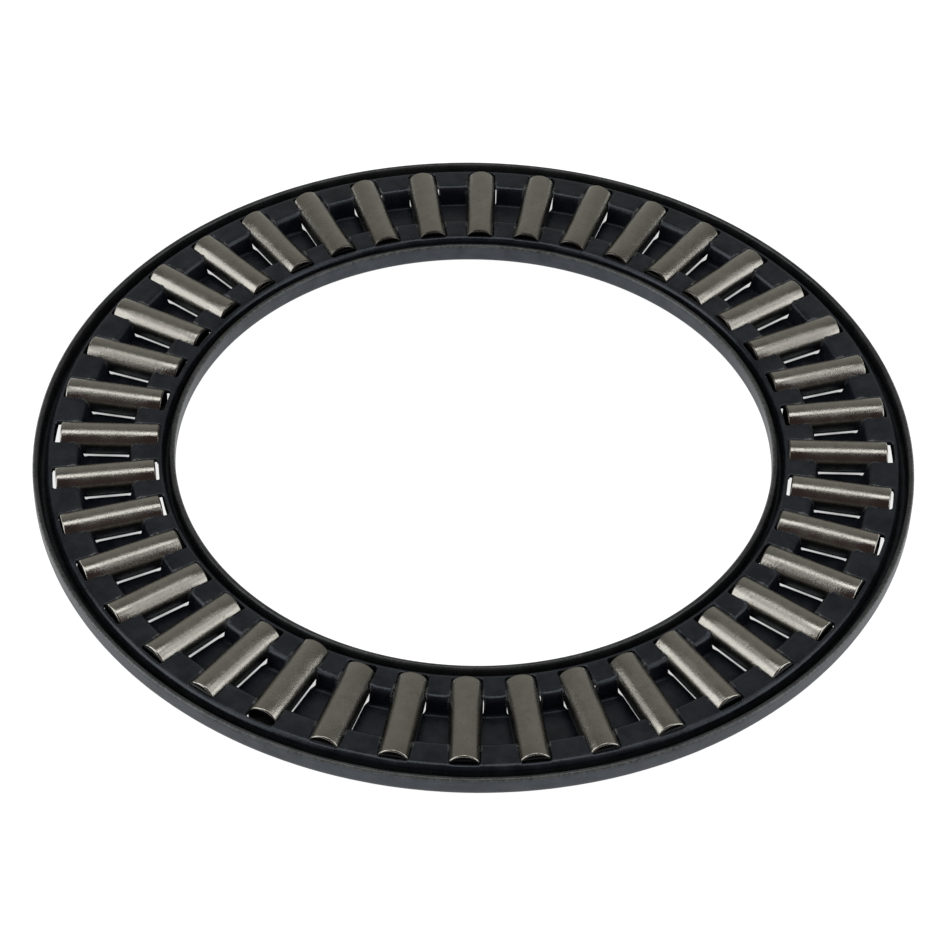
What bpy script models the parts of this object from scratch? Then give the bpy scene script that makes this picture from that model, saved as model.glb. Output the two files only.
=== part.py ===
"""Axial needle roller and cage assembly for a 35 mm shaft and a 52 mm housing.

A ring-shaped cage, pressed from thin sheet steel into a W section, carries forty needle rollers
whose axes lie along the bearing's radii. Metres, +Z along the bearing's axis, origin in the middle
of the bearing at the height of the roller axes. The cage hangs a little low on its rollers, as it
does when the bearing lies on a table.
"""

import math

import bmesh
import bpy
from mathutils import Matrix, Vector

MM = 0.001

# Needle rollers
ROLLER_COUNT = 40
ROLLER_RADIUS = 0.94 * MM
ROLLER_LENGTH = 5.8 * MM
ROLLER_PITCH_RADIUS = 21.75 * MM
ROLLER_CHAMFER = 0.12 * MM
ROLLER_SIDES = 16

# Cage sheet: its thickness, the faces that meet the housing and the shaft, and its heights
SHEET = 0.32 * MM
CAGE_OUTER_RADIUS = 25.85 * MM
CAGE_BORE_RADIUS = 17.60 * MM
CAGE_TOP = 0.46 * MM
CAGE_BOTTOM = -0.93 * MM
RIM_TOP = 0.42 * MM

# Cage sheet: radii of the upright walls and of the sloping steps, at the middle of the sheet
OUTER_WALL_RADIUS = 24.84 * MM
OUTER_STEP_TOP_RADIUS = 23.36 * MM
OUTER_STEP_FOOT_RADIUS = 22.92 * MM
INNER_STEP_FOOT_RADIUS = 20.28 * MM
INNER_STEP_TOP_RADIUS = 20.00 * MM
INNER_WALL_RADIUS = 18.45 * MM
BEND_LENGTH = 0.24 * MM
CAGE_SIDES = ROLLER_COUNT

# Pockets: the lips are narrower than a roller, the relief at mid-height is wider
POCKET_INNER_RADIUS = 18.66 * MM
POCKET_OUTER_RADIUS = 24.76 * MM
LIP_HALF_WIDTH = 0.915 * MM
RELIEF_INNER_RADIUS = 18.72 * MM
RELIEF_OUTER_RADIUS = 24.58 * MM
RELIEF_HALF_WIDTH = 1.03 * MM
RELIEF_HALF_HEIGHT = 0.34 * MM
CUTTER_HALF_HEIGHT = 1.5 * MM

SMOOTH_ANGLE = math.radians(30)


def clear_scene():
    for item in list(bpy.data.objects):
        bpy.data.objects.remove(item, do_unlink=True)


def new_collection(name):
    collection = bpy.data.collections.new(name)
    bpy.context.scene.collection.children.link(collection)
    return collection


def new_material(name, colour, roughness, metallic):
    material = bpy.data.materials.new(name)
    material.use_nodes = True
    shader = material.node_tree.nodes["Principled BSDF"]
    shader.inputs["Base Color"].default_value = (*colour, 1.0)
    shader.inputs["Roughness"].default_value = roughness
    shader.inputs["Metallic"].default_value = metallic
    return material


def bend(corner, before, after, length):
    """The two points between which a bend cuts off a corner of a path."""
    return [
        corner + length * (before - corner).normalized(),
        corner + length * (after - corner).normalized(),
    ]


def sheet_profile():
    """Middle line of the cage's sheet as (radius, height), from the outer rim to the inner rim."""
    outer_rim = CAGE_OUTER_RADIUS - SHEET / 2
    inner_rim = CAGE_BORE_RADIUS + SHEET / 2
    high = CAGE_TOP - SHEET / 2
    low = CAGE_BOTTOM + SHEET / 2
    outer_turn = 0.45 * (outer_rim - OUTER_WALL_RADIUS)
    inner_turn = 0.45 * (INNER_WALL_RADIUS - inner_rim)
    corners = [
        (outer_rim, low, outer_turn),
        (OUTER_WALL_RADIUS, low, outer_turn),
        (OUTER_WALL_RADIUS, high, BEND_LENGTH),
        (OUTER_STEP_TOP_RADIUS, high, BEND_LENGTH),
        (OUTER_STEP_FOOT_RADIUS, low, BEND_LENGTH),
        (INNER_STEP_FOOT_RADIUS, low, BEND_LENGTH),
        (INNER_STEP_TOP_RADIUS, high, BEND_LENGTH),
        (INNER_WALL_RADIUS, high, BEND_LENGTH),
        (INNER_WALL_RADIUS, low, inner_turn),
        (inner_rim, low, inner_turn),
    ]
    ends = (Vector((outer_rim, RIM_TOP)), Vector((inner_rim, RIM_TOP)))
    places = [ends[0]] + [Vector(corner[:2]) for corner in corners] + [ends[1]]
    profile = [ends[0]]
    for index, corner in enumerate(corners):
        profile += bend(places[index + 1], places[index], places[index + 2], corner[2])
    profile.append(ends[1])
    return profile


def radial_boxes(name, collection, inner, outer, half_width, half_height):
    """Cutter made of one box for each pocket, all alike, spaced evenly round the ring."""
    shape = bmesh.new()
    size = Matrix.Diagonal((outer - inner, 2 * half_width, 2 * half_height, 1.0))
    place = Matrix.Translation(((outer + inner) / 2, 0.0, 0.0))
    for index in range(ROLLER_COUNT):
        turn = Matrix.Rotation(2 * math.pi * index / ROLLER_COUNT, 4, "Z")
        bmesh.ops.create_cube(shape, size=1.0, matrix=turn @ place @ size)
    mesh = bpy.data.meshes.new(name)
    shape.to_mesh(mesh)
    shape.free()
    cutter = bpy.data.objects.new(name, mesh)
    cutter.hide_render = True
    cutter.display_type = "WIRE"
    collection.objects.link(cutter)
    return cutter


def cut(target, cutter):
    boolean = target.modifiers.new("Cut " + cutter.name, "BOOLEAN")
    boolean.operation = "DIFFERENCE"
    boolean.object = cutter


def make_cage(parts, cutters, material):
    """Ring with as many flat sides as rollers: each flat touches the true radius at a roller."""
    half_step = math.pi / CAGE_SIDES
    corner_ratio = 1 / math.cos(half_step)
    profile = sheet_profile()
    mesh = bpy.data.meshes.new("cage")
    points = [(point.x * corner_ratio, 0.0, point.y) for point in profile]
    edges = [(index, index + 1) for index in range(len(points) - 1)]
    mesh.from_pydata(points, edges, [])
    mesh.materials.append(material)
    cage = bpy.data.objects.new("cage", mesh)
    cage.rotation_euler.z = half_step
    parts.objects.link(cage)

    turn = cage.modifiers.new("Turn", "SCREW")
    turn.steps = CAGE_SIDES
    turn.render_steps = CAGE_SIDES
    turn.use_merge_vertices = True
    turn.merge_threshold = 0.01 * MM
    thicken = cage.modifiers.new("Sheet", "SOLIDIFY")
    thicken.thickness = SHEET
    thicken.offset = 0.0
    thicken.use_even_offset = True
    cut(cage, radial_boxes(
        "pocket_slots", cutters, POCKET_INNER_RADIUS, POCKET_OUTER_RADIUS,
        LIP_HALF_WIDTH, CUTTER_HALF_HEIGHT,
    ))
    cut(cage, radial_boxes(
        "pocket_reliefs", cutters, RELIEF_INNER_RADIUS, RELIEF_OUTER_RADIUS,
        RELIEF_HALF_WIDTH, RELIEF_HALF_HEIGHT,
    ))
    return cage


def roller_mesh(material):
    """Roller lying along X. Its flats, not its corners, touch the nominal radius."""
    half_step = math.pi / ROLLER_SIDES
    corner_radius = ROLLER_RADIUS / math.cos(half_step)
    lay_along_x = Matrix.Rotation(math.pi / 2, 4, "Y") @ Matrix.Rotation(half_step, 4, "Z")
    shape = bmesh.new()
    bmesh.ops.create_cone(
        shape, cap_ends=True, segments=ROLLER_SIDES, radius1=corner_radius,
        radius2=corner_radius, depth=ROLLER_LENGTH, matrix=lay_along_x,
    )
    mesh = bpy.data.meshes.new("roller")
    shape.to_mesh(mesh)
    shape.free()
    mesh.shade_smooth()
    mesh.set_sharp_from_angle(angle=SMOOTH_ANGLE)
    mesh.materials.append(material)
    return mesh


def make_rollers(parts, material):
    mesh = roller_mesh(material)
    for index in range(ROLLER_COUNT):
        azimuth = 2 * math.pi * index / ROLLER_COUNT
        roller = bpy.data.objects.new(f"roller_{index + 1:02d}", mesh)
        roller.location = (
            ROLLER_PITCH_RADIUS * math.cos(azimuth),
            ROLLER_PITCH_RADIUS * math.sin(azimuth),
            0.0,
        )
        roller.rotation_euler.z = azimuth
        chamfer = roller.modifiers.new("Chamfer", "BEVEL")
        chamfer.width = ROLLER_CHAMFER
        chamfer.segments = 1
        chamfer.limit_method = "ANGLE"
        chamfer.angle_limit = SMOOTH_ANGLE
        parts.objects.link(roller)


def main():
    clear_scene()
    parts = new_collection("needle_thrust_bearing")
    cutters = new_collection("cutters")
    black_steel = new_material("cage_black_steel", (0.022, 0.026, 0.033), 0.38, 0.6)
    ground_steel = new_material("roller_steel", (0.46, 0.45, 0.42), 0.28, 1.0)
    make_cage(parts, cutters, black_steel)
    make_rollers(parts, ground_steel)


main()
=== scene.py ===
"""Looks of the axial needle roller and cage assembly.

A finely formed blackened cage and forty ground steel rollers stand in for the CAD solids, on a
white table under soft studio lights. Metres, in the CAD model's own frame.
"""

import math

import bmesh
import bpy
import numpy as np
from mathutils import Matrix, Vector


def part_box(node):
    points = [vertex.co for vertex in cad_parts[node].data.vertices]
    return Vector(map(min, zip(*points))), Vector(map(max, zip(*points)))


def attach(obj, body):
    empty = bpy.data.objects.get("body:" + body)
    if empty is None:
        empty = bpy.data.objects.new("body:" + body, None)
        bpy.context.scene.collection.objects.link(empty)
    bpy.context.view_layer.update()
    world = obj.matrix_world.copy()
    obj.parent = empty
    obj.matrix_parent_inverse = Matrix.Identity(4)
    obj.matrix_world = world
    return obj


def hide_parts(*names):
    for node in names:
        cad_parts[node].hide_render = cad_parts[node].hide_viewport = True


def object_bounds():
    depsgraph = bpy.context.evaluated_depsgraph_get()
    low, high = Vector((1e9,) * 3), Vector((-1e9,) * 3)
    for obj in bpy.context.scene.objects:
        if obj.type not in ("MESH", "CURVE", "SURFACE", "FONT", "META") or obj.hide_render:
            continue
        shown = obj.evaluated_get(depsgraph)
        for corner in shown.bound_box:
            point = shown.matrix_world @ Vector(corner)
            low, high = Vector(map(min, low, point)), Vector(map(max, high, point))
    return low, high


MM = 0.001

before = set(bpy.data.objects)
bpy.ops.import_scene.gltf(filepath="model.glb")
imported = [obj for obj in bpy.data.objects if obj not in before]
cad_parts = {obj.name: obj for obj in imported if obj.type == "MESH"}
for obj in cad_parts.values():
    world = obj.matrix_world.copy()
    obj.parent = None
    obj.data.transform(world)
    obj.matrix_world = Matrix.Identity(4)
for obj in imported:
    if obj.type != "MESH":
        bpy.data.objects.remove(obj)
cad_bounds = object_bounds()

# Cage sheet, as (radius, height): the same section as the CAD solid, with round bends
CAGE_LOW, CAGE_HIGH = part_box("cage")
SHEET = 0.32 * MM
RIM_OUTER_RADIUS = CAGE_HIGH.x
RIM_BORE_RADIUS = 17.55 * MM
RIM_TOP = CAGE_HIGH.z - 0.04 * MM
SHEET_HIGH = CAGE_HIGH.z - SHEET / 2
SHEET_LOW = CAGE_LOW.z + SHEET / 2
OUTER_WALL_RADIUS = 24.89 * MM
OUTER_STEP_TOP_RADIUS = 23.36 * MM
OUTER_STEP_FOOT_RADIUS = 22.92 * MM
INNER_STEP_FOOT_RADIUS = 20.28 * MM
INNER_STEP_TOP_RADIUS = 20.00 * MM
INNER_WALL_RADIUS = 18.38 * MM
BEND_RADIUS = 0.25 * MM
WALL_BEND_RADIUS = 0.24 * MM
FOOT_RADIUS = 0.34 * MM
WEB_THINNING = 0.09 * MM
RECESS_SHADE_REACH = 0.26 * MM
BEND_STEPS = 7
LONGEST_STEP = 0.20 * MM
EDGE_ROUND = 0.15 * MM
EDGE_STEPS = 4

# Pockets, in half widths: narrow lips in the two bands, wide in the sloping steps
LIP = 0.865 * MM
STEP_NOTCH = 0.955 * MM
WEB_SLOT = 0.76 * MM
POCKET_CORNER = 0.12 * MM
POCKET_OUTER_END = OUTER_WALL_RADIUS - 0.08 * MM
POCKET_INNER_END = INNER_WALL_RADIUS + 0.11 * MM
POCKET_COLUMNS = 6
BAR_COLUMNS = 10
PITCH_COLUMNS = POCKET_COLUMNS + BAR_COLUMNS
EDGE_CHAMFER = 0.045 * MM
LOWER_CHAMFER = 0.4 * EDGE_CHAMFER

# Staking marks: small swellings of the lips at the corners of each bar
STAKE_HEIGHT = 0.06 * MM
STAKE_SPREAD = 0.11 * MM
STAKE_INSET = 0.16 * MM

# Needle rollers
ROLLER_COUNT = sum(name.startswith("roller_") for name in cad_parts)
ROLLER_SIDES = 56
END_ROUND = 0.10 * MM
END_STEPS = 5

# Where the rollers lie in their pockets: a little inward, settled towards the front and the left
# of the ring, a few of them right against the inner end and a few further out
MEAN_SLIDE = -0.14 * MM
FRONT_SLIDE = 0.17 * MM
LEFT_SLIDE = 0.04 * MM
SLIDE_SPREAD = 0.08 * MM
OUTWARD_SLIDE = 0.09 * MM
LEFT_DRIFT = 0.025 * MM
FRONT_DRIFT = 0.022 * MM
SIDE_PLAY = 0.008 * MM
END_GAP = 0.01 * MM
AGAINST_INNER_END = (1, 5, 6, 21, 28)
FURTHER_OUT = (3, 14, 38)
PLACING_SEED = 80629

SHARP_ANGLE = math.radians(65)
FLOOR_HEIGHT = cad_bounds[0][2]
FLOOR_RADIUS = 2.0
PITCH = 2 * math.pi / ROLLER_COUNT


# ---------------------------------------------------------------- shader nodes

def node(tree, kind, **inputs):
    """Adds a node and sets its inputs; an underscore in an input's name stands for a space."""
    made = tree.nodes.new(kind)
    for name, value in inputs.items():
        made.inputs[name.replace("_", " ")].default_value = value
    return made


def mapped(tree, source, low, high, to_low, to_high):
    """Stretches a node's output from one range to another, without passing the new range's ends."""
    made = node(
        tree, "ShaderNodeMapRange", From_Min=low, From_Max=high, To_Min=to_low, To_Max=to_high,
    )
    tree.links.new(source, made.inputs["Value"])
    return made.outputs["Result"]


def noise(tree, place, scale, detail=3.0, roughness=0.6):
    made = node(tree, "ShaderNodeTexNoise", Scale=scale, Detail=detail, Roughness=roughness)
    tree.links.new(place, made.inputs["Vector"])
    return made.outputs["Fac"]


def mixed(tree, factor, first, second):
    """Colour between two others, each an output or a plain colour."""
    made = tree.nodes.new("ShaderNodeMix")
    made.data_type = "RGBA"
    tree.links.new(factor, made.inputs["Factor"])
    for name, colour in (("A", first), ("B", second)):
        if isinstance(colour, tuple):
            made.inputs[name].default_value = (*colour, 1.0)
        else:
            tree.links.new(colour, made.inputs[name])
    return made.outputs["Result"]


def combined(tree, operation, first, second):
    """Result of one arithmetic operation on two outputs."""
    made = tree.nodes.new("ShaderNodeMath")
    made.operation = operation
    tree.links.new(first, made.inputs[0])
    tree.links.new(second, made.inputs[1])
    return made.outputs["Value"]


def attribute(tree, name):
    """Mask stored on the mesh's vertices."""
    made = tree.nodes.new("ShaderNodeAttribute")
    made.attribute_name = name
    return made.outputs["Fac"]


def new_material(name, metallic):
    """A material, its node tree and main shader, and the object's own coordinates."""
    material = bpy.data.materials.new(name)
    material.use_nodes = True
    tree = material.node_tree
    shader = tree.nodes["Principled BSDF"]
    shader.inputs["Metallic"].default_value = metallic
    place = tree.nodes.new("ShaderNodeTexCoord").outputs["Object"]
    return material, tree, shader, place


def bumped(tree, height, distance, strength, shader):
    bump = node(tree, "ShaderNodeBump", Strength=strength, Distance=distance)
    tree.links.new(height, bump.inputs["Height"])
    tree.links.new(bump.outputs["Normal"], shader.inputs["Normal"])


# ---------------------------------------------------------------- camera and light

def aim(thing, target, roll=0.0):
    """Turns a camera or lamp so that it looks at the target, then rolls it about its view axis."""
    away = (thing.location - Vector(target)).normalized()
    turn = away.to_track_quat("Z", "Y").to_matrix()
    thing.rotation_euler = (turn @ Matrix.Rotation(roll, 3, "Z")).to_euler()


def make_camera():
    distance = 193.68 * MM
    elevation = math.radians(44.86)
    turn = math.radians(0.3175)
    roll = math.radians(1.1923)
    target = Vector((0.100 * MM, -2.32 * MM, 0.0))
    away = Vector((0.0, -math.cos(elevation), math.sin(elevation)))
    about_axis = Matrix.Rotation(turn, 3, "Z")
    data = bpy.data.cameras.new("camera")
    data.lens = 125.60
    data.sensor_width = 36.0
    data.clip_start = 0.01
    data.clip_end = 20.0
    camera = bpy.data.objects.new("camera", data)
    camera.location = about_axis @ (target + away * distance)
    bpy.context.scene.collection.objects.link(camera)
    aim(camera, about_axis @ target, roll)
    bpy.context.scene.camera = camera


def soft_box(name, azimuth, elevation, distance, width, height, brightness):
    """Rectangular lamp that faces the bearing, placed by angles in degrees and a distance.
    Brightness is what a mirror would show of it."""
    data = bpy.data.lights.new(name, "AREA")
    data.shape = "RECTANGLE"
    data.size = width
    data.size_y = height
    data.energy = brightness * math.pi * width * height
    lamp = bpy.data.objects.new(name, data)
    azimuth = math.radians(azimuth)
    elevation = math.radians(elevation)
    lamp.location = distance * Vector((
        math.cos(elevation) * math.cos(azimuth),
        math.cos(elevation) * math.sin(azimuth),
        math.sin(elevation),
    ))
    bpy.context.scene.collection.objects.link(lamp)
    aim(lamp, (0.0, 0.0, 0.0))


def make_lights():
    """A big box low on each side with a weaker wing above it, and a strip overhead."""
    soft_box("left_box", 197, 22, 0.7, 0.56, 0.58, 1.25)
    soft_box("left_wing", 202, 55, 0.7, 0.34, 0.28, 0.62)
    soft_box("right_box", -15, 11, 0.7, 0.50, 0.50, 1.15)
    soft_box("right_wing", -17, 47, 0.7, 0.44, 0.34, 0.75)
    soft_box("top_box", 270, 87, 0.7, 0.58, 0.25, 1.5)


def make_room():
    """Surroundings that the steel mirrors: grey behind the bearing, dark on the camera's side."""
    world = bpy.data.worlds.new("room")
    world.use_nodes = True
    tree = world.node_tree
    place = tree.nodes.new("ShaderNodeTexCoord")
    axes = tree.nodes.new("ShaderNodeSeparateXYZ")
    tree.links.new(place.outputs["Generated"], axes.inputs["Vector"])
    backness = mapped(tree, axes.outputs["Y"], -0.25, 1.0, 0.0, 1.0)
    wall = tree.nodes.new("ShaderNodeValToRGB")
    wall.color_ramp.interpolation = "EASE"
    front, back = wall.color_ramp.elements
    front.color = (0.042, 0.029, 0.028, 1.0)
    back.color = (0.260, 0.256, 0.234, 1.0)
    for position, colour in ((0.44, (0.135, 0.133, 0.121)), (0.70, (0.194, 0.191, 0.174))):
        wall.color_ramp.elements.new(position).color = (*colour, 1.0)
    tree.links.new(backness, wall.inputs["Fac"])
    tree.links.new(wall.outputs["Color"], tree.nodes["Background"].inputs["Color"])
    bpy.context.scene.world = world
    bpy.context.scene.view_settings.view_transform = "Standard"


def make_floor():
    """White table that glows as if lit from below, with light and shade painted into its glow. The
    camera sees it white, with a painted shadow under the ring.
    The steel mirrors it half bright close beside the ring, bright in painted pools of the side
    lamps' light further off, and dark under the ring, a painted shadow."""
    bpy.ops.mesh.primitive_circle_add(vertices=96, radius=FLOOR_RADIUS, fill_type="NGON")
    floor = bpy.context.object
    floor.name = "floor"
    floor.location.z = FLOOR_HEIGHT
    material, tree, shader, place = new_material("white_table", 0.0)
    shader.inputs["Base Color"].default_value = (0.35, 0.35, 0.35, 1.0)
    shader.inputs["Roughness"].default_value = 0.8
    shader.inputs["Emission Color"].default_value = (1.0, 1.0, 1.0, 1.0)
    measured = tree.nodes.new("ShaderNodeVectorMath")
    measured.operation = "LENGTH"
    tree.links.new(place, measured.inputs[0])
    distance = measured.outputs["Value"]
    camera_ray = tree.nodes.new("ShaderNodeLightPath").outputs["Is Camera Ray"]
    # The camera sees the glow with a painted shadow under the ring; reflections see painted glow and
    # painted shadow
    seen = combined(tree, "MULTIPLY", camera_ray, floor_painted_shadow(tree, distance))
    mirrored = combined(
        tree, "MAXIMUM", floor_painted_glow_near_ring(tree, distance), floor_painted_light_pools(tree, place, distance),
    )
    strength = combined(tree, "MAXIMUM", seen, mirrored)
    tree.links.new(strength, shader.inputs["Emission Strength"])
    floor.data.materials.append(material)


def floor_painted_shadow(tree, distance):
    """How white the camera sees the floor's glow: a painted shadow, darkest under the middle of the
    ring's width.
    """
    darkest = 0.42
    middle = (RIM_OUTER_RADIUS + RIM_BORE_RADIUS) / 2
    reach = 4.1 * MM
    return combined(
        tree, "MAXIMUM",
        mapped(tree, distance, middle, middle + reach, darkest, 1.0),
        mapped(tree, distance, middle - reach, middle, 1.0, darkest),
    )


def floor_painted_glow_near_ring(tree, distance):
    """Painted glow that the steel mirrors near the ring: half bright close beside it, and a painted
    shadow, nothing, under it.
    """
    nearest = 0.66
    elsewhere = 0.25
    # Painted shadow: no glow under the ring
    clear = combined(
        tree, "MAXIMUM",
        mapped(tree, distance, RIM_OUTER_RADIUS - 0.8 * MM, RIM_OUTER_RADIUS + 0.4 * MM, 0.0, 1.0),
        mapped(tree, distance, RIM_BORE_RADIUS - 0.4 * MM, RIM_BORE_RADIUS + 0.8 * MM, 1.0, 0.0),
    )
    beside = combined(
        tree, "MULTIPLY",
        mapped(tree, distance, RIM_OUTER_RADIUS + 2 * MM, RIM_OUTER_RADIUS + 5 * MM, 1.0, 0.0),
        mapped(tree, distance, RIM_BORE_RADIUS - 5 * MM, RIM_BORE_RADIUS - 2 * MM, 0.0, 1.0),
    )
    level = mapped(tree, beside, 0.0, 1.0, elsewhere, nearest)
    return combined(tree, "MULTIPLY", clear, level)


def floor_painted_light_pools(tree, place, distance):
    """Painted glow that the steel mirrors away from the ring: painted pools of light to its left and
    right.
    """
    axes = tree.nodes.new("ShaderNodeSeparateXYZ")
    tree.links.new(place, axes.inputs["Vector"])
    sideways = combined(tree, "DIVIDE", axes.outputs["X"], distance)
    return combined(
        tree, "MULTIPLY",
        mapped(tree, combined(tree, "MULTIPLY", sideways, sideways), 0.35, 0.75, 0.25, 1.8),
        mapped(tree, distance, RIM_OUTER_RADIUS + 2 * MM, RIM_OUTER_RADIUS + 7 * MM, 0.0, 1.0),
    )


# ---------------------------------------------------------------- materials

def cage_material():
    """Steel with a thin blue-black oxide, greyer on the sheet's cut edges, with painted light that
    fades down the grooves' walls, reflections dimmed as painted shade at the feet of the steps and
    low in the grooves, and rubbed through to bright steel in tiny spots along the pockets."""
    material, tree, shader, place = new_material("cage_black_steel", 0.0)
    shader.inputs["IOR"].default_value = 1.7
    shader.inputs["Specular Tint"].default_value = (0.80, 0.90, 1.0, 1.0)
    cloud = noise(tree, place, 900.0, 4.0)
    fine = noise(tree, place, 5200.0, 4.0, 0.7)
    oxide = mixed(tree, mapped(tree, cloud, 0.35, 0.70, 0.0, 1.0), (0.009, 0.011, 0.017),
                  (0.018, 0.021, 0.031))
    specks = mapped(tree, fine, 0.66, 0.74, 0.0, 0.5)
    spotted = mixed(tree, specks, oxide, (0.09, 0.10, 0.11))
    # Grey of the sheet's cut edges, and painted light near the rims' tops that fades down the
    # grooves' walls
    edge_grey_and_painted_light = combined(
        tree, "MULTIPLY", attribute(tree, "cut_edge_and_painted_light"), mapped(tree, cloud, 0.3, 0.7, 0.45, 1.0),
    )
    edged = mixed(tree, edge_grey_and_painted_light, spotted, (0.095, 0.095, 0.080))
    rubbed = combined(
        tree, "MULTIPLY", attribute(tree, "wear"), mapped(tree, fine, 0.40, 0.58, 0.0, 1.0),
    )
    tree.links.new(mixed(tree, rubbed, edged, (0.36, 0.37, 0.38)), shader.inputs["Base Color"])
    # Painted shade: reflections dimmed at the feet of the steps and low in the grooves
    shine = combined(
        tree, "MULTIPLY", mapped(tree, cloud, 0.3, 0.7, 0.38, 0.60),
        mapped(tree, attribute(tree, "painted_recess_shade"), 0.0, 1.0, 1.0, 0.4),
    )
    tree.links.new(shine, shader.inputs["Specular IOR Level"])
    tree.links.new(mapped(tree, cloud, 0.3, 0.7, 0.20, 0.34), shader.inputs["Roughness"])
    bumped(tree, fine, 0.03 * MM, 0.40, shader)
    return material


def roller_material():
    """Ground bearing steel: bright, with a fine grain that breaks up the edges of reflections,
    duller along the middle, where it rolls, than near its ends, darkened on its inner end by
    painted shade, and dimmed by painted shade where other steel mirrors it."""
    material, tree, shader, place = new_material("roller_steel", 1.0)
    cloud = noise(tree, place, 1200.0, 4.0)
    grain = noise(tree, place, 9000.0, 3.0, 0.7)
    colour = mixed(tree, mapped(tree, cloud, 0.3, 0.75, 0.0, 1.0), (0.49, 0.475, 0.43),
                   (0.57, 0.56, 0.51))
    pits = mapped(tree, grain, 0.56, 0.72, 0.0, 0.5)
    pitted = mixed(tree, pits, colour, (0.16, 0.13, 0.11))
    axes = tree.nodes.new("ShaderNodeSeparateXYZ")
    tree.links.new(place, axes.inputs["Vector"])
    low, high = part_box("roller_01")
    inner_end = END_ROUND - (high.x - low.x) / 2
    mirrored = tree.nodes.new("ShaderNodeLightPath").outputs["Is Glossy Ray"]
    # Painted shade: darker base colour on the inner end's rounding and in other steel's reflections
    painted_shade = combined(
        tree, "MAXIMUM",
        mapped(tree, mirrored, 0.0, 1.0, 0.0, 0.7),
        mapped(tree, axes.outputs["X"], inner_end - 0.03 * MM, inner_end, 0.8, 0.0),
    )
    tree.links.new(mixed(tree, painted_shade, pitted, (0.05, 0.04, 0.035)), shader.inputs["Base Color"])
    along_squared = combined(tree, "MULTIPLY", axes.outputs["X"], axes.outputs["X"])
    rolled = mapped(tree, along_squared, (1.3 * MM) ** 2, (2.3 * MM) ** 2, 1.0, 0.55)
    dullness = mapped(tree, cloud, 0.3, 0.7, 0.21, 0.30)
    tree.links.new(combined(tree, "MULTIPLY", rolled, dullness), shader.inputs["Roughness"])
    bumped(tree, grain, 0.02 * MM, 0.52, shader)
    return material


# ---------------------------------------------------------------- cage

class Row:
    """One place along the sheet's section: its two faces, and half the pocket's width there.
    Drawing the steps out has thinned the sheet towards the web, on its upper side. The grooves
    beside the rims include the walls that lead down into them."""

    def __init__(self, middle, normal, half_width):
        self.middle = middle
        self.normal = normal
        self.half_width = half_width
        self.thinning = 0.0
        if INNER_STEP_TOP_RADIUS < middle.x < OUTER_STEP_TOP_RADIUS:
            self.thinning = WEB_THINNING * (SHEET_HIGH - middle.y) / (SHEET_HIGH - SHEET_LOW)
        self.in_groove = not INNER_WALL_RADIUS < middle.x < OUTER_WALL_RADIUS
        self.painted_recess_shade = self.recess_shade()

    def recess_shade(self):
        """How much painted shade dims the reflections: most at the feet of the steps and low in a
        groove.
        """
        if self.in_groove:
            return smooth(1.4 - 2 * (self.middle.y - SHEET_LOW) / (SHEET_HIGH - SHEET_LOW))
        feet = (OUTER_STEP_FOOT_RADIUS, INNER_STEP_FOOT_RADIUS)
        distance = min((self.middle - Vector((radius, SHEET_LOW))).length for radius in feet)
        return smooth(2 - distance / RECESS_SHADE_REACH)

    def face(self, side):
        depth = SHEET / 2 - (self.thinning if side > 0 else 0.0)
        return self.middle + side * depth * self.normal


def section_corners():
    """Corners of the sheet's middle line: radius, height, bend radius, and the half width of a
    pocket in the straight stretch that ends there."""
    outer_rim = RIM_OUTER_RADIUS - SHEET / 2
    inner_rim = RIM_BORE_RADIUS + SHEET / 2
    outer_turn = 0.45 * (outer_rim - OUTER_WALL_RADIUS)
    inner_turn = 0.45 * (INNER_WALL_RADIUS - inner_rim)
    return [
        (outer_rim, RIM_TOP, 0.0, LIP),
        (outer_rim, SHEET_LOW, outer_turn, LIP),
        (OUTER_WALL_RADIUS, SHEET_LOW, outer_turn, LIP),
        (OUTER_WALL_RADIUS, SHEET_HIGH, WALL_BEND_RADIUS, LIP),
        (OUTER_STEP_TOP_RADIUS, SHEET_HIGH, BEND_RADIUS, LIP),
        (OUTER_STEP_FOOT_RADIUS, SHEET_LOW, FOOT_RADIUS, STEP_NOTCH),
        (INNER_STEP_FOOT_RADIUS, SHEET_LOW, FOOT_RADIUS, WEB_SLOT),
        (INNER_STEP_TOP_RADIUS, SHEET_HIGH, BEND_RADIUS, STEP_NOTCH),
        (INNER_WALL_RADIUS, SHEET_HIGH, WALL_BEND_RADIUS, LIP),
        (INNER_WALL_RADIUS, SHEET_LOW, inner_turn, LIP),
        (inner_rim, SHEET_LOW, inner_turn, LIP),
        (inner_rim, RIM_TOP, 0.0, LIP),
    ]


def smooth(value):
    """Eases from 0 to 1 as the value does, level at both ends and beyond them."""
    value = min(max(value, 0.0), 1.0)
    return value * value * (3 - 2 * value)


def straight_rows(start, end, half_width):
    along = end - start
    direction = along.normalized()
    normal = Vector((direction.y, -direction.x))
    steps = max(1, math.ceil(along.length / LONGEST_STEP))
    return [
        Row(start + along * step / steps, normal, half_width)
        for step in range(steps + 1)
    ]


def bend_rows(start, direction, after, radius, width_before, width_after):
    """Rows of a bend without its start, from one direction of travel to another."""
    turn = -direction.angle_signed(after)
    side = math.copysign(1.0, turn)
    centre = start + side * radius * Vector((-direction.y, direction.x))
    rows = []
    for step in range(1, BEND_STEPS):
        share = step / BEND_STEPS
        arm = Matrix.Rotation(turn * share, 2) @ (start - centre)
        width = width_before + smooth(share) * (width_after - width_before)
        rows.append(Row(centre + arm, side * arm.normalized(), width))
    return rows


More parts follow.
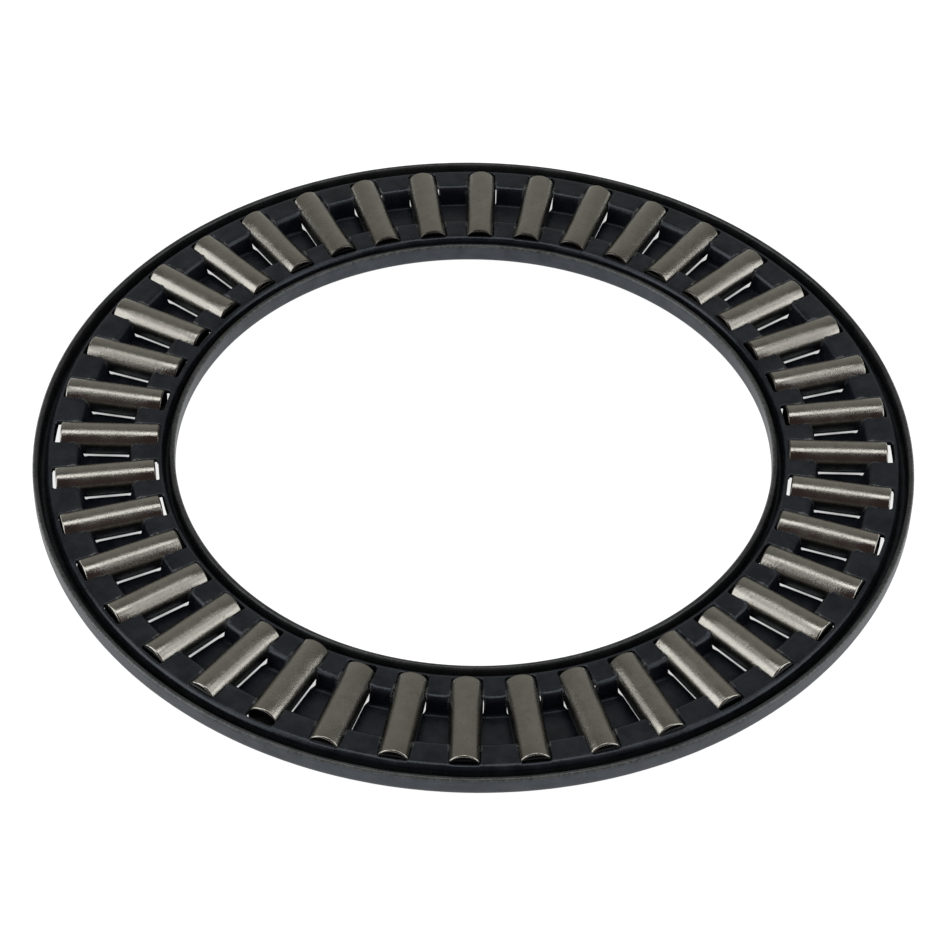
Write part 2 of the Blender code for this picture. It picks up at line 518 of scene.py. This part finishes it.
def section_rows():
    """Rows from the outer rim's top edge to the inner rim's."""
    corners = section_corners()
    places = [Vector(corner[:2]) for corner in corners]
    rows = []
    start = places[0] - Vector((0.0, EDGE_ROUND))
    for index in range(1, len(corners) - 1):
        corner = places[index]
        radius = corners[index][2]
        direction = (corner - places[index - 1]).normalized()
        after = (places[index + 1] - corner).normalized()
        reach = radius * math.tan(direction.angle(after) / 2)
        bend_start = corner - reach * direction
        rows += straight_rows(start, bend_start, corners[index][3])
        rows += bend_rows(
            bend_start, direction, after, radius, corners[index][3], corners[index + 1][3],
        )
        start = corner + reach * after
    end = places[-1] - Vector((0.0, EDGE_ROUND))
    return rows + straight_rows(start, end, corners[-1][3])


def rim_edge_points(row):
    """Rounded end of the sheet at a rim's top, from the groove's side over to the other side."""
    points = []
    across = row.normal
    up = Vector((0.0, 1.0))
    for side in (1, -1):
        pivot = row.middle + side * (SHEET / 2 - EDGE_ROUND) * across
        arc = []
        for step in range(1, EDGE_STEPS + 1):
            angle = 0.5 * math.pi * step / EDGE_STEPS
            arm = side * math.cos(angle) * across + math.sin(angle) * up
            arc.append(pivot + EDGE_ROUND * arm)
        points += arc if side > 0 else arc[::-1]
    return points


class CageShape:
    """Vertices and faces of the cage. A column is one azimuth: the columns of each pitch cross
    the pocket first, from edge to edge, and then the bar beside it."""

    def __init__(self):
        self.rows = section_rows()
        self.columns = ROLLER_COUNT * PITCH_COLUMNS
        self.vertices = []
        self.wear = []
        self.cut_edge_and_painted_light = []
        self.painted_recess_shade = []
        self.faces = []
        self.known = {}
        self.find_pocket()

    def find_pocket(self):
        """First and last row of a pocket, on the upper face and on the lower face. The pocket's
        corners are rounded by narrowing the rows near its ends."""
        inside = [
            index for index, row in enumerate(self.rows)
            if POCKET_INNER_END <= row.face(1).x <= POCKET_OUTER_END
        ]
        self.upper = (inside[0], inside[-1])
        upright = [
            index for index, row in enumerate(self.rows) if abs(row.normal.y) < 1e-6
        ]
        self.lower = (
            max(index for index in upright if index < self.upper[0]),
            min(index for index in upright if index > self.upper[1]),
        )
        ends = [self.rows[index].face(1).x for index in self.upper]
        for index, row in enumerate(self.rows):
            if self.upper[0] <= index <= self.upper[1]:
                depth = min(ends[0] - row.face(1).x, row.face(1).x - ends[1])
            else:
                depth = 0.0
            missing = max(POCKET_CORNER - depth, 0.0)
            row.half_width += math.sqrt(POCKET_CORNER ** 2 - missing ** 2) - POCKET_CORNER

    def in_pocket(self, column):
        return column % PITCH_COLUMNS < POCKET_COLUMNS

    def azimuth(self, row, radius, column):
        pitch, place = divmod(column, PITCH_COLUMNS)
        edge = math.asin(row.half_width / radius)
        if place <= POCKET_COLUMNS:
            return pitch * PITCH + edge * (2 * place / POCKET_COLUMNS - 1)
        bar_width = radius * (PITCH - 2 * edge)
        return pitch * PITCH + edge + self.bar_offset(place - POCKET_COLUMNS, bar_width) / radius

    def bar_offset(self, place, width):
        """Distance of a bar's column from its first edge, close together near both edges."""
        chamfers_from_edge = (0.0, 1.0, 2.5, 5.0, 9.0)
        if place < BAR_COLUMNS / 2:
            return chamfers_from_edge[place] * EDGE_CHAMFER
        if place > BAR_COLUMNS / 2:
            return width - chamfers_from_edge[BAR_COLUMNS - place] * EDGE_CHAMFER
        return width / 2

    def on_pocket_edge(self, index, column, side):
        first, last = self.upper if side > 0 else self.lower
        place = column % PITCH_COLUMNS
        if place in (0, POCKET_COLUMNS):
            return self.upper[0] <= index <= self.upper[1] or index in (first, last)
        return place < POCKET_COLUMNS and index in (first, last)

    def add_vertex(self, key, point, angle, wear, cut_edge_and_painted_light, painted_recess_shade=0.0):
        self.known[key] = len(self.vertices)
        self.vertices.append(
            (point.x * math.cos(angle), point.x * math.sin(angle), point.y)
        )
        self.wear.append(wear)
        self.cut_edge_and_painted_light.append(cut_edge_and_painted_light)
        self.painted_recess_shade.append(painted_recess_shade)

    def vertex(self, index, side, column):
        column %= self.columns
        key = (index, side, column)
        if key not in self.known:
            row = self.rows[index]
            point = row.face(side)
            angle = self.azimuth(row, point.x, column)
            wear = self.edge_wear(index, column, side)
            if self.on_pocket_edge(index, column, side):
                chamfer = EDGE_CHAMFER if side > 0 else LOWER_CHAMFER
                point = point - side * chamfer * row.normal
            if side > 0:
                point = point + self.staking(point, angle) * row.normal
            painted_recess_shade = row.painted_recess_shade if side > 0 else 0.0
            self.add_vertex(key, point, angle, wear, self.groove_painted_light(row, side), painted_recess_shade)
        return self.known[key]

    def groove_painted_light(self, row, side):
        """How much painted light a place shows in the grooves: lightest near the rims' tops, where
        it meets the cut edge's grey, and fading down the grooves' rim walls.
        """
        if side < 0 or not row.in_groove:
            return 0.0
        return 0.22 + 0.35 * smooth(1 - (RIM_TOP - row.middle.y) / (2 * SHEET))

    def edge_wear(self, index, column, side):
        """How exposed a place is to rubbing: most on the pockets' edges where the lips end."""
        if side < 0 or not self.upper[0] <= index <= self.upper[1]:
            return 0.0
        exposed = 0.12 if self.lip_at(self.rows[index].middle.x) is None else 1.0
        if self.on_pocket_edge(index, column, side):
            return exposed
        beside = column % PITCH_COLUMNS in (POCKET_COLUMNS + 1, PITCH_COLUMNS - 1)
        return 0.5 * exposed if beside else 0.0

    def staking(self, point, angle):
        """Height of the swelling where a lip was staked over its roller, at a bar's corners."""
        mark = self.lip_at(point.x)
        if mark is None:
            return 0.0
        along = point.x - mark
        across = abs(math.remainder(angle, PITCH)) * point.x - LIP - STAKE_SPREAD / 2
        return STAKE_HEIGHT * math.exp(-(along ** 2 + across ** 2) / STAKE_SPREAD ** 2)

    def lip_at(self, radius):
        """Radius of the nearest staking mark, if the place is on one of the two raised bands."""
        marks = (OUTER_STEP_TOP_RADIUS + STAKE_INSET, INNER_STEP_TOP_RADIUS - STAKE_INSET)
        near = min(marks, key=lambda mark: abs(mark - radius))
        return near if abs(near - radius) < 3 * STAKE_SPREAD else None

    def rim_vertex(self, rim, step, column):
        """Vertex of a rim's rounded top, more rubbed on the half away from the groove, and greyer
        there: the half by the groove gets less of the cut edge's grey, a painted shade.
        """
        column %= self.columns
        key = ("rim", rim, step, column)
        if key not in self.known:
            row = self.rows[rim]
            point = self.rim_points[rim][step]
            # Less grey on the groove's half is painted shade
            wear, cut_edge_and_painted_light = (0.05, 0.6) if step <= EDGE_STEPS else (0.3, 1.0)
            self.add_vertex(key, point, self.azimuth(row, point.x, column), wear, cut_edge_and_painted_light)
        return self.known[key]

    def add_sheet_faces(self):
        last_row = len(self.rows) - 1
        for column in range(self.columns):
            for side, (first, last) in ((1, self.upper), (-1, self.lower)):
                for index in range(last_row):
                    if self.in_pocket(column) and first <= index < last:
                        continue
                    self.faces.append([
                        self.vertex(index, side, column),
                        self.vertex(index, side, column + 1),
                        self.vertex(index + 1, side, column + 1),
                        self.vertex(index + 1, side, column),
                    ])

    def add_pocket_ends(self):
        for column in range(self.columns):
            if not self.in_pocket(column):
                continue
            for upper, lower in zip(self.upper, self.lower):
                self.faces.append([
                    self.vertex(upper, 1, column),
                    self.vertex(upper, 1, column + 1),
                    self.vertex(lower, -1, column + 1),
                    self.vertex(lower, -1, column),
                ])

    def add_pocket_sides(self):
        for pitch in range(ROLLER_COUNT):
            start = pitch * PITCH_COLUMNS
            for column in (start, start + POCKET_COLUMNS):
                for index in range(self.upper[0], self.upper[1]):
                    self.faces.append([
                        self.vertex(index, 1, column),
                        self.vertex(index + 1, 1, column),
                        self.vertex(index + 1, -1, column),
                        self.vertex(index, -1, column),
                    ])
                for upper, lower in zip(self.upper, self.lower):
                    step = 1 if lower > upper else -1
                    self.faces.append([self.vertex(upper, 1, column)] + [
                        self.vertex(index, -1, column) for index in range(upper, lower + step, step)
                    ])

    def add_rim_edges(self):
        last_row = len(self.rows) - 1
        self.rim_points = {rim: rim_edge_points(self.rows[rim]) for rim in (0, last_row)}
        for rim, points in self.rim_points.items():
            for column in range(self.columns):
                for step in range(len(points) + 1):
                    corners = []
                    for place, turn in ((step, 0), (step, 1), (step + 1, 1), (step + 1, 0)):
                        if place == 0:
                            corners.append(self.vertex(rim, 1, column + turn))
                        elif place == len(points) + 1:
                            corners.append(self.vertex(rim, -1, column + turn))
                        else:
                            corners.append(self.rim_vertex(rim, place - 1, column + turn))
                    self.faces.append(corners)


def object_from(name, vertices, faces, material):
    mesh = bpy.data.meshes.new(name)
    mesh.from_pydata(vertices, [], faces)
    mesh.validate()
    shape = bmesh.new()
    shape.from_mesh(mesh)
    bmesh.ops.recalc_face_normals(shape, faces=shape.faces)
    shape.to_mesh(mesh)
    shape.free()
    mesh.shade_smooth()
    mesh.set_sharp_from_angle(angle=SHARP_ANGLE)
    mesh.materials.append(material)
    made = bpy.data.objects.new(name, mesh)
    bpy.context.scene.collection.objects.link(made)
    return made


def make_cage(material):
    shape = CageShape()
    shape.add_sheet_faces()
    shape.add_pocket_ends()
    shape.add_pocket_sides()
    shape.add_rim_edges()
    cage = object_from("formed_cage", shape.vertices, shape.faces, material)
    masks = {"wear": shape.wear, "cut_edge_and_painted_light": shape.cut_edge_and_painted_light, "painted_recess_shade": shape.painted_recess_shade}
    for name, values in masks.items():
        cage.data.attributes.new(name, "FLOAT", "POINT").data.foreach_set("value", values)
    cage.modifiers.new("Even shading", "WEIGHTED_NORMAL").keep_sharp = True
    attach(cage, "cage")
    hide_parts("cage")


# ---------------------------------------------------------------- rollers

def roller_profile(half_length, radius):
    """Half of a roller's outline as (distance along the axis, radius), from its outer end. One
    more point on the flat end and one on the straight side keep the shading even."""
    flat = radius - END_ROUND
    points = [(half_length, 0.0), (half_length, 0.5 * flat)]
    for step in range(END_STEPS + 1):
        angle = 0.5 * math.pi * step / END_STEPS
        points.append((
            half_length - END_ROUND * (1 - math.cos(angle)),
            flat + END_ROUND * math.sin(angle),
        ))
    points.append((0.6 * half_length, radius))
    return points


def turned(profile, sides):
    """Vertices and faces of a closed shape turned about X. The profile's ends are on the axis."""
    vertices = [(profile[0][0], 0.0, 0.0), (profile[-1][0], 0.0, 0.0)]
    rings = []
    for along, radius in profile[1:-1]:
        rings.append(len(vertices))
        for side in range(sides):
            angle = 2 * math.pi * side / sides
            vertices.append((along, radius * math.cos(angle), radius * math.sin(angle)))
    faces = []
    for side in range(sides):
        after = (side + 1) % sides
        faces.append([0, rings[0] + after, rings[0] + side])
        faces.append([1, rings[-1] + side, rings[-1] + after])
        for here, there in zip(rings, rings[1:]):
            faces.append([here + side, here + after, there + after, there + side])
    return vertices, faces


def roller_place(number, azimuth, inner_end, outer_end, chance):
    """How far a roller has slid outward and sideways in its pocket, and how it has turned."""
    furthest_in = POCKET_INNER_END + END_GAP - inner_end
    furthest_out = POCKET_OUTER_END - END_GAP - outer_end
    slide = MEAN_SLIDE - FRONT_SLIDE * math.sin(azimuth) - LEFT_SLIDE * math.cos(azimuth)
    slide += chance.uniform(-1, 1) * SLIDE_SPREAD
    if number in AGAINST_INNER_END:
        slide = furthest_in
    if number in FURTHER_OUT:
        slide += OUTWARD_SLIDE
    slide = min(max(slide, furthest_in), furthest_out)
    sideways = LEFT_DRIFT * math.sin(azimuth) - FRONT_DRIFT * math.cos(azimuth)
    sideways += chance.uniform(-1, 1) * SIDE_PLAY
    quarter_turns = int(chance.integers(0, 4))
    return (
        Matrix.Translation((slide, sideways, 0.0))
        @ Matrix.Rotation(0.5 * math.pi * quarter_turns, 4, "X")
    )


def make_rollers(material):
    chance = np.random.default_rng(PLACING_SEED)
    low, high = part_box("roller_01")
    radius = (high.z - low.z) / 2
    half_length = (high.x - low.x) / 2
    half = roller_profile(half_length, radius)
    vertices, faces = turned(half + [(-along, r) for along, r in reversed(half)], ROLLER_SIDES)
    first = object_from("ground_roller_01", vertices, faces, material)
    for index in range(ROLLER_COUNT):
        number = f"{index + 1:02d}"
        roller = first
        if index > 0:
            roller = bpy.data.objects.new("ground_roller_" + number, first.data)
            bpy.context.scene.collection.objects.link(roller)
        azimuth = index * PITCH
        roller.matrix_world = (
            Matrix.Rotation(azimuth, 4, "Z")
            @ Matrix.Translation((low.x + half_length, 0.0, 0.0))
            @ roller_place(index + 1, azimuth, low.x, high.x, chance)
        )
        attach(roller, "roller_" + number)
        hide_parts("roller_" + number)


make_camera()
make_lights()
make_room()
make_floor()
make_cage(cage_material())
make_rollers(roller_material())
